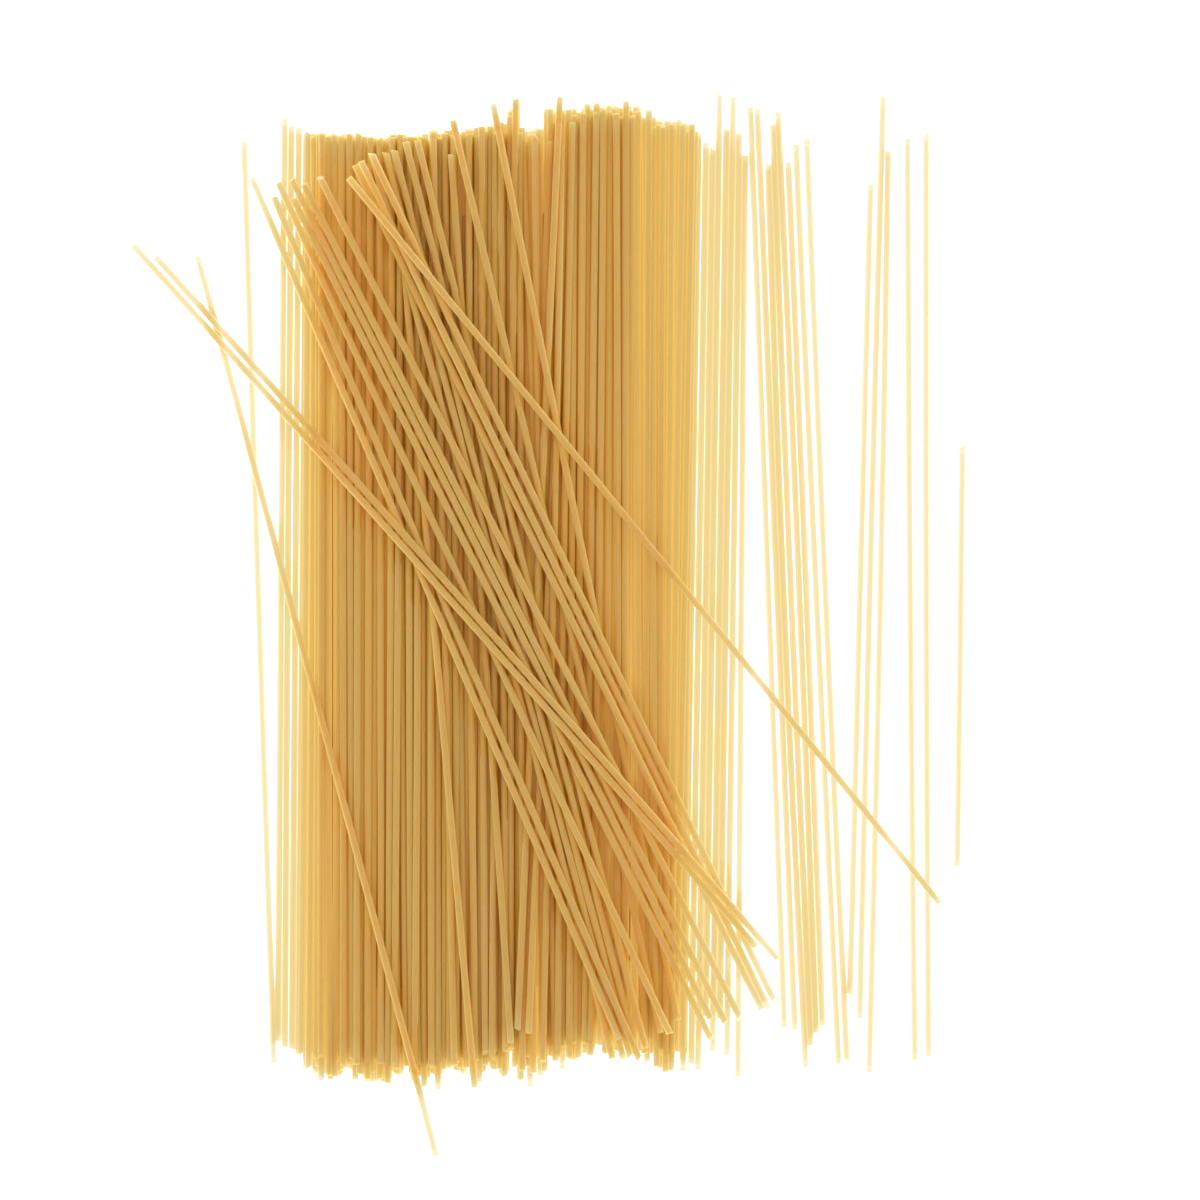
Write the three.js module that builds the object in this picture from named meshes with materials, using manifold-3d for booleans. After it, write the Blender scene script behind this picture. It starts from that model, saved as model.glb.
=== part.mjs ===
// A bundle of dry spaghetti, lying loose on a table as it fell.
// Millimetres, +Z up. The strands run along Y. The origin is on the table under the middle of the whole spread.
import * as THREE from 'three';
import { mergeVertices } from 'three/addons/utils/BufferGeometryUtils.js';
import Module from 'manifold-3d';

const wasm = await Module();
wasm.setup();

// ---- one strand ----
const strandLength = 257;
const strandWidth = 1.8;
const strandSides = 6;
const buriedSides = 5;
const cornerRadius = 0.95; // out to a corner of the six-sided strand
const flatRadius = cornerRadius * Math.cos(Math.PI / strandSides); // out to the middle of a side
const fuseDepth = 0.15; // how far touching strands run into each other
const clearGap = 0.3; // the least space between strands that don't touch
const restStep = 1; // from one place to the next where a resting strand is tried against those under it
const steepestRise = 0.3; // no resting strand tips more than this, as rise over length
const levelTries = 60;
const samePoint = 1e-4;

// ---- the laid heap: parallel strands, side by side and in rows ----
const heapLeft = -74.8;
const heapRight = 53.4;
const strandPitch = 1.95; // from one laid strand to the next
const rowRise = 1.7; // from one buried row to the next
const lowestRow = 1.0; // height of the middle of the lowest row
const highestBuried = 1.2 * rowRise; // how far the buried rows stay under the top row
const topRowUnevenness = 0.45;
const endUnevenness = 3.5;
const coreInset = 7; // how far the core stops short of the strand ends
const coreBelowTopRow = 0.3;
const coreSteps = 22; // flats across the top of the core

// Thickness of the laid heap across its width: one strand at the margins, two humps with a seam between them.
const heapThickness = [
  [-75, 1.8], [-69, 2.2], [-62, 5.6], [-51, 9.2], [-40, 10.6], [-24, 11.0], [-11, 9.6],
  [-5, 7.8], [2, 9.0], [14, 9.4], [22, 8.4], [30, 5.2], [41, 3.2], [43, 1.9], [54, 1.8],
];

// How far the laid strands are pushed along Y, across the width of the heap.
const heapShift = [
  [-75, 12], [-69, 8.5], [-62, 7], [-3, 7], [0, 13.5], [24, 14], [27, 10.5], [40, 8], [48, 12], [54, 3],
];

// ---- the strands that lie across the heap, lowest first: middle x, middle y, lean in degrees (foot to the right) ----
const crossingStrands = [
  [-30, 4, 2.4], [-18.5, 12, 3.5], [-31.5, 1, 4.9], [-2.5, 17, -2.6],
  [10.8, 15.5, 11.1], [3, 11, 12.6], [-7.1, 4.5, 14.4], [-15.6, 5.3, 14.8],
  [-12.3, 4, 14.2], [-9.7, 5, 14.4], [-4.8, 8, 14.9], [-1.7, 8, 15.2],
  [-31.5, 4.4, 23.3], [-25.3, -0.7, 23.3], [-21, 4.6, 24.9], [-13.1, 2, 26.6], [-12.9, 7.5, 26.7],
  [-9.2, 6, 26.7], [-4.9, 7.7, 26.7], [2.2, 9.9, 25.7], [4.8, 10.1, 25.5], [7.4, 12, 25.4],
  [-64.7, -21.3, 14.9], [-22.2, 5.3, 41.6], [-28.8, 8.1, 41.7], [28.5, 21.8, 39.9],
];

// ---- the strands that lie by themselves on the table: middle x, middle y, lean, length ----
const looseStrands = [
  [-81.2, 6.1, 1.8, 257], [60.75, 16, 2.2, 257], [63.1, 15.3, 2.25, 257], [65.8, 2.4, 2.25, 252],
  [67.7, 11, 2.25, 257], [69.75, 14.5, 2.25, 257], [72.85, 8.6, 2.4, 241], [75.3, 5.6, 2.45, 257],
  [77.6, 6.8, 2.5, 257], [87.6, 9.8, -1.45, 226], [90.3, 18.6, -1.5, 257], [92.6, 3.6, -1.4, 257],
  [100.6, 7.1, 0.5, 257], [105.8, 8, 0.1, 257], [114.7, -8.9, -0.6, 117],
];

const dryPasta = () => new THREE.MeshStandardMaterial({ color: 0xe3bb6c, roughness: 0.6, metalness: 0 });

// The same odd number between -1 and 1 for the same place in the heap.
function scatter(index, purpose) {
  const wave = Math.sin(index * 12.9898 + purpose * 78.233) * 43758.5453;
  return 2 * (wave - Math.floor(wave)) - 1;
}

function alongProfile(profile, x) {
  const last = profile.length - 1;
  const next = Math.min(Math.max(profile.findIndex((station) => station[0] >= x), 1), last);
  const [x0, value0] = profile[next - 1];
  const [x1, value1] = profile[next];
  const share = THREE.MathUtils.clamp((x - x0) / (x1 - x0), 0, 1);
  return value0 + share * (value1 - value0);
}

// A strand is held as its middle, the way its foot points in plan, its rise towards the foot, and its length.
function makeStrand(x, y, height, lean, length, rise = 0) {
  const angle = THREE.MathUtils.degToRad(lean);
  return { x, y, height, alongX: Math.sin(angle), alongY: -Math.cos(angle), length, rise };
}

// The prism of one strand. A laid strand has a corner on top, the others lie on a flat side.
function strandPrism(strand, cornerUp, sides = strandSides) {
  const turn = cornerUp ? 0 : Math.PI / sides;
  const prism = new THREE.CylinderGeometry(
    cornerRadius, cornerRadius, strand.length, sides, 1, false, turn, 2 * Math.PI);
  const direction = new THREE.Vector3(strand.alongX, strand.alongY, strand.rise).normalize();
  prism.rotateZ(Math.PI);
  prism.applyQuaternion(new THREE.Quaternion().setFromUnitVectors(new THREE.Vector3(0, -1, 0), direction));
  return prism.translate(strand.x, strand.y, strand.height);
}

// ---- the laid heap ----
function topRow() {
  const row = [];
  const count = Math.round((heapRight - heapLeft) / strandPitch) + 1;
  for (let i = 0; i < count; i += 1) {
    const x = heapLeft + i * strandPitch;
    const thickness = alongProfile(heapThickness, x);
    const unevenness = thickness > 2 * strandWidth ? topRowUnevenness * scatter(i, 1) : 0;
    const height = Math.max(thickness - strandWidth / 2 + unevenness, lowestRow);
    const y = alongProfile(heapShift, x) + endUnevenness * scatter(i, 2);
    row.push(makeStrand(x, y, height, 0, strandLength));
  }
  return row;
}

// Every second one of the buried strands, whose ends stand out of the core under the top row.
function buriedRows(top) {
  const rows = [];
  top.forEach((above, i) => {
    for (let row = i % 2; lowestRow + row * rowRise < above.height - highestBuried; row += 2) {
      const x = above.x + (row % 2 ? strandPitch / 2 : 0);
      const y = above.y + endUnevenness * scatter(i, 3 + row);
      rows.push(makeStrand(x, y, lowestRow + row * rowRise, 0, strandLength));
    }
  });
  return rows;
}

// The core is a box bent to the heap: its top follows the thickness and its ends stay inside the strand ends.
function coreSolid() {
  const width = heapRight - heapLeft;
  const core = new THREE.BoxGeometry(width, 2, 1, coreSteps, 1, 1);
  const place = core.attributes.position;
  for (let i = 0; i < place.count; i += 1) {
    const x = (heapLeft + heapRight) / 2 + place.getX(i);
    const halfLength = strandLength / 2 - coreInset;
    const y = alongProfile(heapShift, x) + halfLength * place.getY(i);
    const topHeight = alongProfile(heapThickness, x) - strandWidth / 2 - coreBelowTopRow;
    place.setXYZ(i, x, y, place.getZ(i) > 0 ? topHeight : 0);
  }
  return core;
}

// ---- laying a strand across others ----
// How high the middle line of a strand must be at (x, y) to clear one strand under it.
function clearance(under, x, y, contactHeight) {
  const fromX = x - under.x;
  const fromY = y - under.y;
  const along = fromX * under.alongX + fromY * under.alongY;
  const beside = Math.abs(fromX * under.alongY - fromY * under.alongX) / strandWidth;
  if (Math.abs(along) > under.length / 2 || beside >= 1) {
    return flatRadius;
  }
  return under.height + under.rise * along + contactHeight * Math.sqrt(1 - beside * beside);
}

// The strand comes down, level or tipped, until its middle can't go any lower.
function layAcross(x, y, lean, top, others) {
  const strand = makeStrand(x, y, 0, lean, strandLength);
  const stations = [];
  for (let along = -strandLength / 2; along <= strandLength / 2; along += restStep) {
    const atX = x + along * strand.alongX;
    const atY = y + along * strand.alongY;
    let lowest = flatRadius;
    for (const under of top) {
      lowest = Math.max(lowest, clearance(under, atX, atY, cornerRadius + flatRadius - fuseDepth));
    }
    for (const under of others) {
      lowest = Math.max(lowest, clearance(under, atX, atY, 2 * flatRadius - fuseDepth));
    }
    stations.push([along, lowest]);
  }
  const middleHeight = (rise) => Math.max(...stations.map(([along, lowest]) => lowest - rise * along));
  let lowRise = -steepestRise;
  let highRise = steepestRise;
  for (let attempt = 0; attempt < levelTries; attempt += 1) {
    const third = (highRise - lowRise) / 3;
    if (middleHeight(lowRise + third) < middleHeight(highRise - third)) {
      highRise -= third;
    } else {
      lowRise += third;
    }
  }
  strand.rise = (lowRise + highRise) / 2;
  strand.height = middleHeight(strand.rise);
  return strand;
}

// A strand on the table that another one rests on, or nearly so.
function isTouched(under, over) {
  const halfLength = over.length / 2;
  for (let along = -halfLength; along <= halfLength; along += restStep) {
    const atX = over.x + along * over.alongX;
    const atY = over.y + along * over.alongY;
    const lowest = clearance(under, atX, atY, 2 * flatRadius + clearGap);
    if (lowest > flatRadius && over.height + over.rise * along < lowest) {
      return true;
    }
  }
  return false;
}

// ---- solids ----
function toSolid(geometry) {
  const bare = geometry.clone();
  bare.deleteAttribute('normal');
  bare.deleteAttribute('uv');
  const merged = mergeVertices(bare, samePoint);
  const vertProperties = new Float32Array(merged.attributes.position.array);
  const triVerts = new Uint32Array(merged.index.array);
  return new wasm.Manifold(new wasm.Mesh({ numProp: 3, vertProperties, triVerts }));
}

function toGeometry(solid) {
  const mesh = solid.getMesh();
  const geometry = new THREE.BufferGeometry();
  geometry.setAttribute('position', new THREE.BufferAttribute(mesh.vertProperties, 3));
  geometry.setIndex(new THREE.BufferAttribute(mesh.triVerts, 1));
  return geometry;
}

const onTable = looseStrands.map(([x, y, lean, length]) => makeStrand(x, y, flatRadius, lean, length));
const top = topRow();
const crossing = [];
for (const [x, y, lean] of crossingStrands) {
  crossing.push(layAcross(x, y, lean, top, [...onTable, ...crossing]));
}
const carrying = onTable.filter((under) => crossing.some((over) => isTouched(under, over)));
const loose = onTable.filter((strand) => !carrying.includes(strand));

const heapParts = [
  coreSolid(),
  ...top.map((strand) => strandPrism(strand, true)),
  ...buriedRows(top).map((strand) => strandPrism(strand, true, buriedSides)),
  ...[...carrying, ...crossing].map((strand) => strandPrism(strand, false)),
];
const joined = heapParts.map(toSolid).reduce((whole, piece) => whole.add(piece));

const group = new THREE.Group();
const bundle = new THREE.Mesh(toGeometry(joined), dryPasta());
bundle.name = 'spaghetti_bundle';
group.add(bundle);

loose.forEach((strand, i) => {
  const mesh = new THREE.Mesh(strandPrism(strand, false), dryPasta());
  mesh.name = `loose_strand_${i + 1}`;
  group.add(mesh);
});

// The origin goes on the table, under the middle of the whole spread.
const spread = new THREE.Box3().setFromObject(group);
const middle = spread.getCenter(new THREE.Vector3());
group.position.set(-middle.x, -middle.y, 0);
group.updateMatrixWorld(true);

export default group;
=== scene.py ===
"""A bundle of dry spaghetti, lying loose on a table as it fell.

The laid strands are packed under their own weight, others are laid across, and a few lie by themselves.
Sizes are in millimetres until a mesh is made of them. Meshes, camera and lamp are in metres.
"""

import math

import bpy
import numpy as np
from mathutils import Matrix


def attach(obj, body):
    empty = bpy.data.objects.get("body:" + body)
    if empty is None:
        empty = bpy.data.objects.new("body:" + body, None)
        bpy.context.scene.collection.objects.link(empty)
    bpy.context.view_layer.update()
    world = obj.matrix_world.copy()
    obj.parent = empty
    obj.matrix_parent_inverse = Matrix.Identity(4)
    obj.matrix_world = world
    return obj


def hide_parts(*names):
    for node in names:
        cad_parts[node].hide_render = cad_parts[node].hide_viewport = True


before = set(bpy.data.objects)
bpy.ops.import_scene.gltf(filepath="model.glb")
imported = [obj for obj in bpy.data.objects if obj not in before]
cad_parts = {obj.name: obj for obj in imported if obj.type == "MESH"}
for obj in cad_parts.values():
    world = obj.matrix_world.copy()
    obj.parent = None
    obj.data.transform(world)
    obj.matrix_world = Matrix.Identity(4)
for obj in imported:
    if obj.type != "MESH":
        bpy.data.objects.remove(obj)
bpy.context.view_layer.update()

# ---- one strand ----
METRES = 0.001
STRAND_WIDTH = 1.9
STRAND_LENGTH = 257.0
STRAND_SIDES = 8
GIRTH_UNEVENNESS = 0.025  # share of the girth
SKIN_UNEVENNESS = 0.016
LUMP_FINENESS = 160.0  # lumps of the skin to a metre
END_RINGS = (2.2, 4.6, 7.5)  # from a cut end to the rings behind it, the first past the steepest cut
STEEPEST_CUT = 0.9  # slope of a chipped end
CHIP_RARITY = 2.5  # the higher, the more ends are cut nearly square
GRAIN_STRETCH = 20.0  # metres of dough that the strands' streaks are cut from
REST_STEP = 1.0  # from one place to the next where a resting strand is tried against those under it
STEEPEST_RISE = 0.3
LEVEL_TRIES = 50

# ---- the laid heap ----
SPREAD_MIDDLE = np.array([0.64, 1.25])  # of all the strands, seen from the zero of the tables below
ROW_PITCH = 2.01  # from one strand of the fill to the next
ROW_RISE = 1.6  # and from one row to the next
ROWS_UNDER_TOP = 2.8  # how far the fill stops under the thickness of the heap
FILL_LEFT = -66.72
FILL_RIGHT = 38.9
HUMP_THICKNESS = 10.0  # where the fill has all its play
SIDE_PLAY = 0.35
FILL_LEAN = 0.35  # degrees
LENGTH_PLAY = (-2.0, 6.0)  # of the laid strands, over the usual length
DROP = 0.4  # how far above its place a top strand starts
HEAP_RINGS = 27  # along a laid strand, between its ends
CROSSING_RINGS = 200  # close together, because the light changes along them
LOOSE_RINGS = 60

# How far the strands bow to the side in the middle, as a usual amount.
FILL_BOW = 0.5
TOP_BOW = 0.35
MARGIN_BOW = 0.05
CROSSING_BOW = 0.4
LOOSE_BOW = 0.3

# ---- the packing ----
STATIONS = 11  # places along a strand where it is packed against its neighbours
PACKING_ROUNDS = 420
LAST_ROUNDS = 120
SEARCH_ROUNDS = 20  # from one search for neighbours to the next
NEIGHBOUR_REACH = 1.6  # strand widths
SINKING = 0.02  # in each round
LAST_SINKING = 0.0015  # in each of the last rounds
NOT_NOTHING = 1e-9  # keeps two strands in one place from a division by nothing
GIVING_WAY = 0.32  # share of an overlap by which each of the two strands moves off in a round
BEND_KEPT = 0.85  # share of its bend to the side that a strand keeps in a round
OWN_BEND = 0.15  # share of the bend it was made with that comes back
SAG_KEPT = 0.9  # share of its bend up or down that it keeps

# Share of the way back to its own place to the side that a strand goes in each round.
FILL_HOLD = 0.03
TOP_HOLD = 0.35
MARGIN_HOLD = 0.5

# Thickness of the heap across its width: one strand at the margins, two humps with a seam between them.
HEAP_THICKNESS = (
    (-75, 1.9), (-69, 1.9), (-68.4, 4.6), (-65, 5.6), (-64.2, 7.2), (-57, 8.4), (-51, 9.4), (-40, 10.6),
    (-24, 11.0), (-11, 10.6), (-6.3, 10.2), (-5.5, 7.2), (-3.9, 7.2), (-3.1, 8.7), (0, 9.0), (2, 9.8),
    (14, 9.4), (22, 8.6), (28, 7.9), (34, 7.0), (38.9, 6.0), (39.2, 1.9), (54, 1.9),
)

# How far the heads of the laid strands are pushed along Y, across the width of the heap.
HEAP_SHIFT = (
    (-69, 8), (-62, 7.3), (-47, 6.6), (-33, 6.8), (-25, 7.8), (-13, 8.6), (-11, 8.6), (-10.6, 15.5),
    (-9.2, 15.5), (-8.8, 6.8), (-2, 6.8), (-0.5, 13.5), (4, 12), (9, 13.5), (13, 14.5), (24, 14.2),
    (28, 11.5), (33, 10.2), (41, 10),
)

# How far the heads may lie to either side of that.
HEAD_PLAY = (
    (-69, 0.6), (-50, 0.8), (-20, 1.4), (0, 2.4), (41, 2.2),
)

# How the strands of the fill lean, across the width of the heap.
HEAP_LEAN = (
    (-69, -0.45), (-60, 0), (29, 0), (37.7, -1.05),
)

# The strands that show on top of the heap: middle x, lean in degrees with the foot to the right.
TOP_STRANDS = (
    (-67.7, -0.45), (-65.6, -0.35), (-63.9, -0.2), (-62.8, -0.1), (-60.8, 0.0), (-58.8, 0.0), (-56.8, 0.1),
    (-54.6, 0.2), (-52.7, -0.1), (-49.6, -0.2), (-46.3, 0.1), (-43.5, -0.3), (-41.5, -0.4), (-38.15, 0.1),
    (-36.2, -0.1), (-32.1, -0.1), (-27.5, 0.3), (-25.6, 0.2), (-21.2, 0.4), (-17.9, 0.2), (-14.8, -0.2),
    (-12.3, 0.3), (-9.9, -0.3), (-7.4, 0.2), (-4.2, -2.2), (0.0, -3.3), (0.3, -2.5), (-2.2, 0.6),
    (-2.3, 2.1), (1.4, -1.2), (4.4, -0.9), (6.6, -0.3), (8.6, -0.6), (11.8, -0.7), (13.9, -0.8),
    (19.3, 0.1), (21.4, -0.1), (25.2, 0.4), (27.3, -0.3), (29.3, 0.2), (31.3, -0.2), (33.4, -0.4),
    (35.5, -0.7), (37.8, -1.05),
)

# The single strands along both margins of the heap: middle x, middle y, lean.
MARGIN_STRANDS = (
    (-74.6, 12.5, -0.4), (-72.65, 10.5, -0.41), (-70.6, 10, -0.43), (-68.62, 8.5, -0.5),
    (39.9, 8.5, -0.92), (41.88, 5.9, -0.92), (43.8, 4.3, -0.9), (45.9, 19.3, -0.87), (47.7, 9.5, -0.86),
    (49.7, 18.6, -0.84), (51.55, 8.5, -0.77), (53.85, 2.4, -0.45),
)

# The strands that lie across the heap, lowest first: middle x, middle y, lean, and a broken one's length.
CROSSING_STRANDS = (
    (-28.6, 7.1, 1.3), (-18.3, 7.1, 3.85, 245), (-31.2, 1, 4.9), (-2.5, 17, -2.6),
    (10.35, 16.7, 11.4), (2.9, 12.7, 12.8), (-7.45, 8.1, 14.2), (-14.65, 5.3, 14.9),
    (-12.0, 5.5, 14.7), (-9.95, 6, 14.6), (-4.6, 8.5, 14.1),
    (-30.85, 4.75, 23.15), (-25.35, -0.7, 23.0), (-20.55, 4.9, 24.75), (-12.55, 2, 26.45),
    (-12.5, 7.5, 26.55), (-9.05, 6, 26.7), (-5.0, 7.7, 26.55), (2.75, 9.9, 25.7), (5.1, 10.1, 25.65),
    (7.3, 12, 25.4),
    (-64.0, -21.3, 15.2), (-22.2, 5.3, 41.6), (-28.3, 8.55, 41.7), (27.8, 21.8, 39.3),
)

# The strands that lie by themselves on the table: middle x, middle y, lean, length.
LOOSE_STRANDS = (
    (-80.8, 6.1, 1.85, 257), (61.06, 16, 2.12, 257), (63.52, 15.3, 2.3, 257), (66.1, 2.4, 2.39, 252),
    (67.71, 11, 2.38, 257), (69.62, 14.5, 2.36, 257), (71.9, 8.6, 2.29, 241), (74.9, 5.6, 2.65, 257),
    (77.5, 6.8, 2.5, 257), (86.95, 9.8, -1.45, 226), (89.95, 18.6, -1.45, 257), (92.4, 3.6, -1.2, 257),
    (101.0, 7.1, 0.45, 257), (105.5, 8, 0.15, 257), (114.8, -8.9, -0.7, 117),
)

# ---- light through the pasta ----
CELL = 0.2  # of the plan in which the pasta over each place is added up
PLAN_MARGIN = 6.0
PLAN_LINES = 12  # along each strand, side by side
ROOF_REACH = 6  # cells over which the topmost strands count for those beside them
EDGE_BLUR = 0.28  # how far light from below spreads at the edge of a strand
GLOW_BLUR = 0.8  # inside the heap
RAISED_BLUR = 2.2  # and under the strands that lie across it
BELL_REACH = 3  # blurs to each side, past which nothing of it is left
FAR_EDGE = 1.001  # cells that a reading keeps off the far edges, so that a next cell is there
SHADE_OF_CROSSING = 0.5  # how much the strands lying across count for those under them
LIGHT_DEPTH = 2.6  # of pasta that lets about a third of the light through

# ---- the core ----
CORE_LEFT = -62.0
CORE_RIGHT = 34.0
CORE_INSET = 22.0  # from the ends of the strands
CORE_UNDER_TOP = 4.4
CORE_BOTTOM = 0.2
CORE_LEAST = 0.7
CORE_STEPS = 40
CORE_STREAK_FINENESS = 900.0
CORE_BLOTCH_FINENESS = 90.0
# darker than the strands: painted shade of the depth of the heap
CORE_PAINTED_SHADE_COLOURS = ((196, 138, 62), (224, 172, 92))
CORE_ROUGHNESS = 0.7

chance = np.random.default_rng(257)


def along_profile(profile, x):
    """The profile's value at x, from the two stations round it."""
    stations = np.array(profile, float)
    return np.interp(x, stations[:, 0], stations[:, 1])


def bow_at(place, bow):
    """How far a strand bows to the side at each place, its middle line staying where it was."""
    return bow * (1 / 3 - place**2)


# ---- packing the laid strands ----
def fill_strands():
    """The strands under the top ones: rows as deep as the heap is thick, with some play to the sides."""
    rows = []
    deepest = int(max(value for _, value in HEAP_THICKNESS) / ROW_RISE)
    for row in range(deepest):
        height = STRAND_WIDTH / 2 + row * ROW_RISE
        start = FILL_LEFT + (row % 2) * ROW_PITCH / 2
        for x in np.arange(start, FILL_RIGHT, ROW_PITCH):
            thickness = along_profile(HEAP_THICKNESS, x)
            looseness = thickness / HUMP_THICKNESS
            if height + ROWS_UNDER_TOP < thickness:
                lean = along_profile(HEAP_LEAN, x) + FILL_LEAN * looseness * chance.normal()
                rows.append((x + SIDE_PLAY * looseness * chance.uniform(-1, 1), height, lean))
    return rows


def close_pairs(x, z):
    """Pairs of strands that come near each other somewhere along their length."""
    reach = NEIGHBOUR_REACH * STRAND_WIDTH
    apart_x = np.abs(x[:, None, :] - x[None, :, :])
    apart_z = np.abs(z[:, None, :] - z[None, :, :])
    near = ((apart_x < reach) & (apart_z < reach)).any(axis=2)
    return np.nonzero(np.triu(near, 1))


def pack_strands(x, z, held):
    """Strands sink under their weight, keep clear of each other and stay stiff.

    They come as x and height at each station, and go back as cubics of the place along the strand.
    """
    place = np.linspace(-1, 1, x.shape[1])
    line = np.vander(place, 2)
    curve = np.vander(place, 4)
    onto_line = line @ np.linalg.pinv(line)
    onto_curve = curve @ np.linalg.pinv(curve)
    wanted = x.copy()
    own_bend = wanted - wanted @ onto_line
    for turn in range(PACKING_ROUNDS):
        if turn % SEARCH_ROUNDS == 0:
            first, second = close_pairs(x, z)
        last = turn > PACKING_ROUNDS - LAST_ROUNDS
        z -= LAST_SINKING if last else SINKING
        apart_x = x[second] - x[first]
        apart_z = z[second] - z[first]
        apart = np.hypot(apart_x, apart_z) + NOT_NOTHING
        push = GIVING_WAY * np.maximum(STRAND_WIDTH - apart, 0) / apart
        np.subtract.at(x, first, push * apart_x)
        np.add.at(x, second, push * apart_x)
        np.subtract.at(z, first, push * apart_z)
        np.add.at(z, second, push * apart_z)
        x += held[:, None] * (wanted - x)
        bent = x @ onto_curve - x @ onto_line
        x = x @ onto_line + BEND_KEPT * bent + OWN_BEND * own_bend
        z = z @ onto_line + SAG_KEPT * (z @ onto_curve - z @ onto_line)
        z = np.maximum(z, STRAND_WIDTH / 2)
    to_curve = np.linalg.pinv(curve)
    return x @ to_curve.T, z @ to_curve.T


def lay_heap():
    """All laid strands: middle y, half length, x and height as cubics of the place, foot -1 to head 1."""
    place = np.linspace(-1, 1, STATIONS)
    x_rows = []
    z_rows = []
    middles = []
    halves = []
    held = []

    def add(x, y, half, height, lean, hold, bow):
        x_rows.append(x - math.tan(math.radians(lean)) * half * place + bow_at(place, bow))
        z_rows.append(np.full(STATIONS, height))
        middles.append(y)
        halves.append(half)
        held.append(hold)

    def add_laid(x, height, lean, hold, bow):
        half = (STRAND_LENGTH + chance.uniform(*LENGTH_PLAY)) / 2
        head = STRAND_LENGTH / 2 + along_profile(HEAP_SHIFT, x)
        head += along_profile(HEAD_PLAY, x) * chance.uniform(-1, 1)
        add(x, head - half, half, height, lean, hold, bow)

    for x, height, lean in fill_strands():
        add_laid(x, height, lean, FILL_HOLD, FILL_BOW * chance.normal())
    for x, lean in TOP_STRANDS:
        height = along_profile(HEAP_THICKNESS, x) + DROP
        add_laid(x, height, lean, TOP_HOLD, TOP_BOW * chance.normal())
    for x, y, lean in MARGIN_STRANDS:
        add(x, y, STRAND_LENGTH / 2, STRAND_WIDTH / 2, lean, MARGIN_HOLD, MARGIN_BOW * chance.normal())
    x_curves, z_curves = pack_strands(np.array(x_rows), np.array(z_rows), np.array(held))
    return np.array(middles), np.array(halves), x_curves, z_curves


# ---- laying strands across ----
def rod(x, y, lean, length=STRAND_LENGTH):
    """A stiff strand: its middle and way to its foot in plan, its height, rise to the foot and length."""
    angle = math.radians(lean)
    return {
        "middle": np.array([x, y], float),
        "way": np.array([math.sin(angle), -math.cos(angle)]),
        "height": STRAND_WIDTH / 2,
        "rise": 0.0,
        "length": length,
    }


def need_over_heap(heap, points):
    """How high the middle of a strand must be at each point to clear every laid strand."""
    middles, halves, x_curves, z_curves = heap
    place = (points[:, 1][:, None] - middles[None, :]) / halves[None, :]
    powers = np.stack([place**3, place**2, place, np.ones_like(place)], axis=2)
    beside = np.abs(points[:, 0][:, None] - (powers * x_curves[None]).sum(axis=2)) / STRAND_WIDTH
    height = (powers * z_curves[None]).sum(axis=2) + STRAND_WIDTH * np.sqrt(np.clip(1 - beside**2, 0, 1))
    height[(np.abs(place) > 1) | (beside >= 1)] = STRAND_WIDTH / 2
    return height.max(axis=1)


def need_over_rod(under, points):
    """How high the middle of a strand must be at each point to clear a stiff one under it."""
    off = points - under["middle"]
    along = off @ under["way"]
    beside = np.abs(off[:, 0] * under["way"][1] - off[:, 1] * under["way"][0]) / STRAND_WIDTH
    height = under["height"] + under["rise"] * along + STRAND_WIDTH * np.sqrt(np.clip(1 - beside**2, 0, 1))
    height[(np.abs(along) > under["length"] / 2) | (beside >= 1)] = STRAND_WIDTH / 2
    return height


def lay_across(strand, heap, others):
    """The strand comes down, level or tipped, until its middle can't go any lower."""
    along = np.arange(-strand["length"] / 2, strand["length"] / 2 + REST_STEP / 2, REST_STEP)
    points = strand["middle"] + along[:, None] * strand["way"]
    need = need_over_heap(heap, points)
    for under in others:
        need = np.maximum(need, need_over_rod(under, points))

    def middle_height(rise):
        return (need - rise * along).max()

    low, high = -STEEPEST_RISE, STEEPEST_RISE
    for _ in range(LEVEL_TRIES):
        third = (high - low) / 3
        if middle_height(low + third) < middle_height(high - third):
            high -= third
        else:
            low += third
    strand["rise"] = (low + high) / 2
    strand["height"] = middle_height(strand["rise"])
    return strand


# ---- paths ----
def ring_places(length, rings):
    """Places along a strand from -1 to 1, with short steps at each cut end."""
    near = 1 - 2 * np.array(END_RINGS) / length
    between = np.linspace(-near[-1], near[-1], rings)
    return np.concatenate(([-1.0], -near[:-1], between, near[-2::-1], [1.0]))


def heap_paths(heap, rings):
    """The middle line of every laid strand, from foot to head."""
    paths = []
    for middle, half, x_curve, z_curve in zip(*heap):
        place = ring_places(2 * half, rings)
        y = middle + place * half
        paths.append(np.stack([np.polyval(x_curve, place), y, np.polyval(z_curve, place)], axis=1))
    return paths


def rod_path(strand, rings, bow):
    """The middle line of a stiff strand, with a slight bow to the side."""
    place = ring_places(strand["length"], rings)
    along = place * strand["length"] / 2
    side = np.array([strand["way"][1], -strand["way"][0]])
    plan = strand["middle"] + along[:, None] * strand["way"] + bow_at(place, bow)[:, None] * side
    return np.column_stack([plan, strand["height"] + strand["rise"] * along])


def bowed_paths(strands, rings, bow):
    """The middle lines of stiff strands, each with a bow of its own."""
    return [rod_path(strand, rings, bow * chance.normal()) for strand in strands]


def shifted(paths):
    """The paths with the zero of the tables moved to the middle of the whole spread."""
    return [path - np.array([*SPREAD_MIDDLE, 0.0]) for path in paths]


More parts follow.
